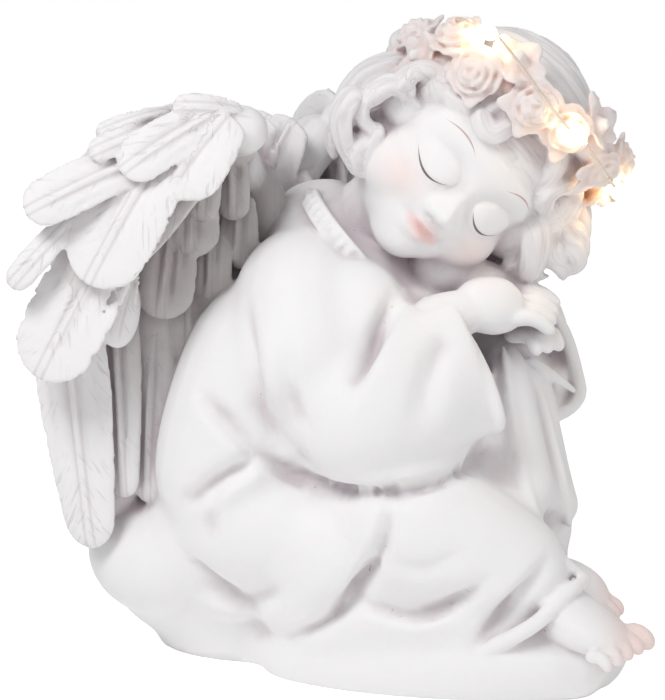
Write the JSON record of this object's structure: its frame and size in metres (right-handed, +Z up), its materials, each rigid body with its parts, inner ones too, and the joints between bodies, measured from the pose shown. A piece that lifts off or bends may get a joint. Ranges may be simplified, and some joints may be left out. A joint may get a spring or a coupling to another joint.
{
  "type": "led angel figurine",
  "caption": "Cast resin angel in a robe, seated and asleep on its folded hands, with feathered wings and warm micro lights in the flower wreath on its head.",
  "frame": {"origin": "centre of the bounding box at the height of the flat underside", "axes": "+Z up, -Y towards the side that the figure's face is turned to, +X towards the figure's feet; the wings are at -X"},
  "size_m": [0.1906, 0.168, 0.2],
  "materials": {
    "white_cast_resin": "matte white polyresin with a faint grey wash in the recesses",
    "led_resin": "clear warm-white micro light drops",
    "enamelled_copper": "thin clear-enamelled copper wire"
  },
  "bodies": {
    "root": {"angel": "white_cast_resin", "led_drop_1": "led_resin", "led_drop_2": "led_resin", "led_drop_3": "led_resin", "light_wire_1": "enamelled_copper", "light_wire_2": "enamelled_copper", "light_wire_3": "enamelled_copper", "light_wire_4": "enamelled_copper"}
  },
  "joints": []
}
